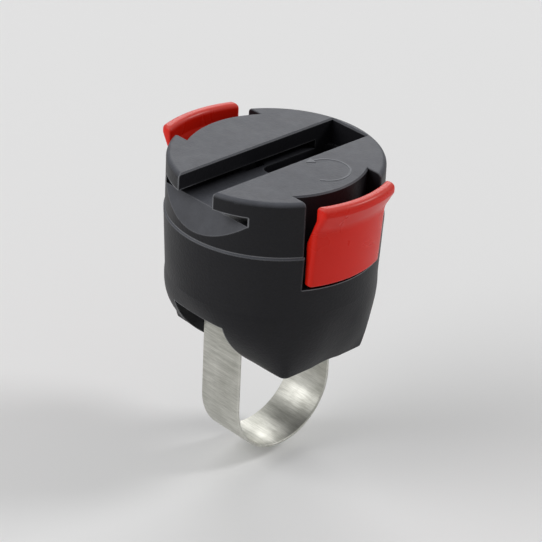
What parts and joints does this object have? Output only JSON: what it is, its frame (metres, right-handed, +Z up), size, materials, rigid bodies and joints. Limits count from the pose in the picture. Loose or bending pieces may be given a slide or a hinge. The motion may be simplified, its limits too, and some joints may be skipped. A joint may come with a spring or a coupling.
{
  "type": "phone mount",
  "caption": "Quick-release handlebar mount: round T-slot head with two squeeze buttons on a tapered body, held to the bar by a steel band.",
  "frame": {"origin": "on the handlebar's axis, under the middle of the body", "axes": "+X along the handlebar, +Y along the T-slot towards its closed end, +Z up through the head"},
  "size_m": [0.0464, 0.04, 0.0592],
  "materials": {
    "black_plastic": "fine moulded texture",
    "inner_plastic": "moulded",
    "slide_plastic": "smooth acetal",
    "red_plastic": "semi-gloss",
    "spring_steel": "drawn wire",
    "zinc_steel": "zinc plated",
    "stainless": "bright",
    "screw_steel": "black oxide",
    "cast_zinc": "as cast",
    "brass": "machined",
    "stainless_strap": "brushed across its width",
    "rubber": "matte"
  },
  "bodies": {
    "body": {"housing": "black_plastic", "head": "black_plastic", "slide_plate": "inner_plastic", "bearing_plate": "zinc_steel", "saddle_pad": "rubber", "housing_screws": "screw_steel", "return_spring_right": "spring_steel", "return_spring_left": "spring_steel"},
    "right_release": {"button_right": "red_plastic", "latch_right": "slide_plastic"},
    "left_release": {"button_left": "red_plastic", "latch_left": "slide_plastic"},
    "screw": {"clamp_screw": "screw_steel", "screw_washer": "stainless", "retaining_clip": "spring_steel"},
    "clamp": {"tension_yoke": "cast_zinc", "threaded_insert": "brass", "strap": "stainless_strap", "strap_pin_front": "stainless", "strap_pin_rear": "stainless"}
  },
  "joints": [
    {"name": "press_right", "type": "slide", "parent": "body", "child": "right_release", "axis": [-1, 0, 0], "range_m": [0, 0.002], "stiffness_N_per_m": 600, "springref_m": -0.0012, "deforming": ["return_spring_right"]},
    {"name": "press_left", "type": "slide", "parent": "body", "child": "left_release", "axis": [1, 0, 0], "range_m": [0, 0.002], "stiffness_N_per_m": 600, "springref_m": -0.0012, "deforming": ["return_spring_left"]},
    {"name": "screw_turn", "type": "hinge", "parent": "body", "child": "screw", "pos_m": [0, 0.0032, 0.03], "axis": [0, 0, 1], "range_deg": [0, 1080]},
    {"name": "clamp_slide", "type": "slide", "parent": "body", "child": "clamp", "axis": [0, 0, -1], "range_m": [0, 0.0024]}
  ],
  "couplings": [
    {"joint": "screw_turn", "follows": "clamp_slide", "rad_per_m": 7854}
  ]
}
